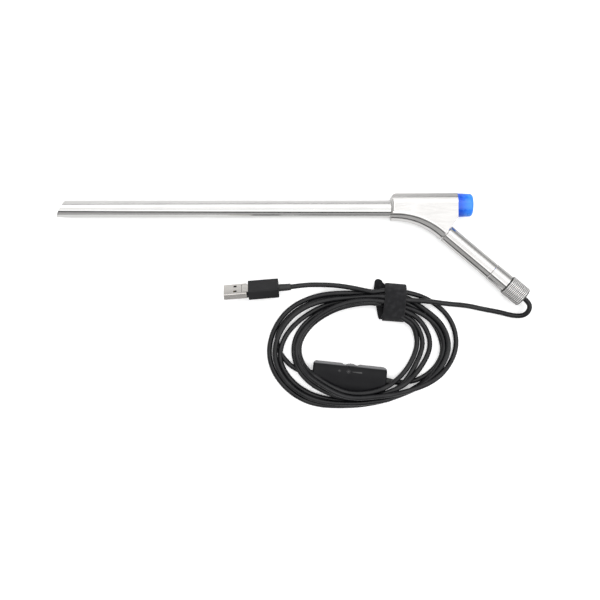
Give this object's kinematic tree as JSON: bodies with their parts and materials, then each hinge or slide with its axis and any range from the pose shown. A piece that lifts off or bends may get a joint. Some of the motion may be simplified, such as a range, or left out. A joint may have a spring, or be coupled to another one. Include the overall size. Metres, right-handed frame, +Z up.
{
  "type": "rigid video endoscope",
  "caption": "Rigid steel USB video endoscope with a bevelled working tube, Y block with sealed rear port, angled cable gland, coiled cable, inline lamp dimmer and flip-shell plug.",
  "frame": {"origin": "on the table, under the middle of the instrument's bounding box without its cable", "axes": "+X along the working tube from its tip towards the rear port, +Z up from the table, +Y from the handle towards the tube"},
  "size_m": [0.3395, 0.1546, 0.0172],
  "materials": {
    "tube_steel": "drawn stainless tube, finely polished along its length",
    "liner_steel": "plain drawn stainless tube",
    "block_steel": "satin blasted stainless with softened edges",
    "turned_steel": "turned and brushed stainless",
    "knurled_steel": "stainless with a fine diamond knurl",
    "camera_steel": "plain turned stainless",
    "screw_steel": "blackened steel",
    "plug_nickel": "nickel plated pressed steel",
    "contact_gold": "gold plated contacts",
    "cap_blue": "moulded blue plastic, semi-gloss",
    "clear_silicone": "translucent silicone",
    "black_rubber": "moulded rubber",
    "black_resin": "moulded black resin",
    "lens_glass": "coated optical glass",
    "black_metal": "black anodised",
    "circuit_green": "solder-masked circuit board",
    "lamp_yellow": "phosphor-coated lamp faces",
    "cable_jacket": "satin black cable jacket",
    "strap_cloth": "woven hook-and-loop tape with a napped face",
    "dimmer_plastic": "finely textured black plastic",
    "plug_plastic": "satin black overmoulded plastic"
  },
  "bodies": {
    "instrument": {"working_tube": "tube_steel", "channel_liner": "liner_steel", "tip_insert": "black_resin", "camera_housing": "camera_steel", "lens_window": "lens_glass", "lens_barrel": "black_metal", "led_board": "circuit_green", "leds": "lamp_yellow", "image_sensor": "circuit_green", "camera_lead": "cable_jacket", "y_block": "block_steel", "port_nipple": "turned_steel", "port_ring": "black_rubber", "handle_tube": "turned_steel", "gland_sleeve": "turned_steel", "cable_collet": "black_rubber", "cable_lead": "cable_jacket", "cable_coil": "cable_jacket", "cable_tail": "cable_jacket", "cable_strap": "strap_cloth", "dimmer_top_shell": "dimmer_plastic", "dimmer_bottom_shell": "dimmer_plastic", "dimmer_screws": "screw_steel", "dimmer_board": "circuit_green", "dimmer_pot": "black_resin", "dimmer_relief_in": "black_rubber", "dimmer_relief_out": "black_rubber", "usb_overmould": "plug_plastic", "usb_relief": "plug_plastic", "usb_rear_plate": "plug_nickel", "usb_core": "black_resin", "usb_hinge_pin": "plug_nickel", "usb_contacts": "contact_gold", "micro_usb_shell": "plug_nickel", "micro_usb_tongue": "black_resin"},
    "port_cap": {"seal_cap": "cap_blue", "seal_membrane": "clear_silicone"},
    "gland_washer": {"thrust_washer": "camera_steel"},
    "clamp_nut": {"knurled_nut": "knurled_steel"},
    "thumbwheel": {"dimmer_wheel": "dimmer_plastic"},
    "plug_shell": {"usb_shell": "plug_nickel"}
  },
  "joints": [
    {"name": "cap_slide", "type": "slide", "parent": "instrument", "child": "port_cap", "axis": [1, 0, 0], "range_m": [0, 0.008]},
    {"name": "washer_slide", "type": "slide", "parent": "instrument", "child": "gland_washer", "axis": [0.766, -0.6428, 0], "range_m": [0, 0.0015]},
    {"name": "nut_turn", "type": "hinge", "parent": "gland_washer", "child": "clamp_nut", "pos_m": [0.16409, -0.03501, 0.0086], "axis": [0.766, -0.6428, 0], "range_deg": [0, 720]},
    {"name": "dimmer_turn", "type": "hinge", "parent": "instrument", "child": "thumbwheel", "pos_m": [0.04055, -0.09008, 0.0056], "axis": [0, 0, 1], "range_deg": [-135, 135]},
    {"name": "shell_flip", "type": "hinge", "parent": "instrument", "child": "plug_shell", "pos_m": [-0.03444, -0.02921, 0.00833], "axis": [-0.0504, 0.6136, -0.788], "range_deg": [0, 95]}
  ],
  "couplings": [
    {"joint": "nut_turn", "follows": "washer_slide", "rad_per_m": 8377.6}
  ]
}
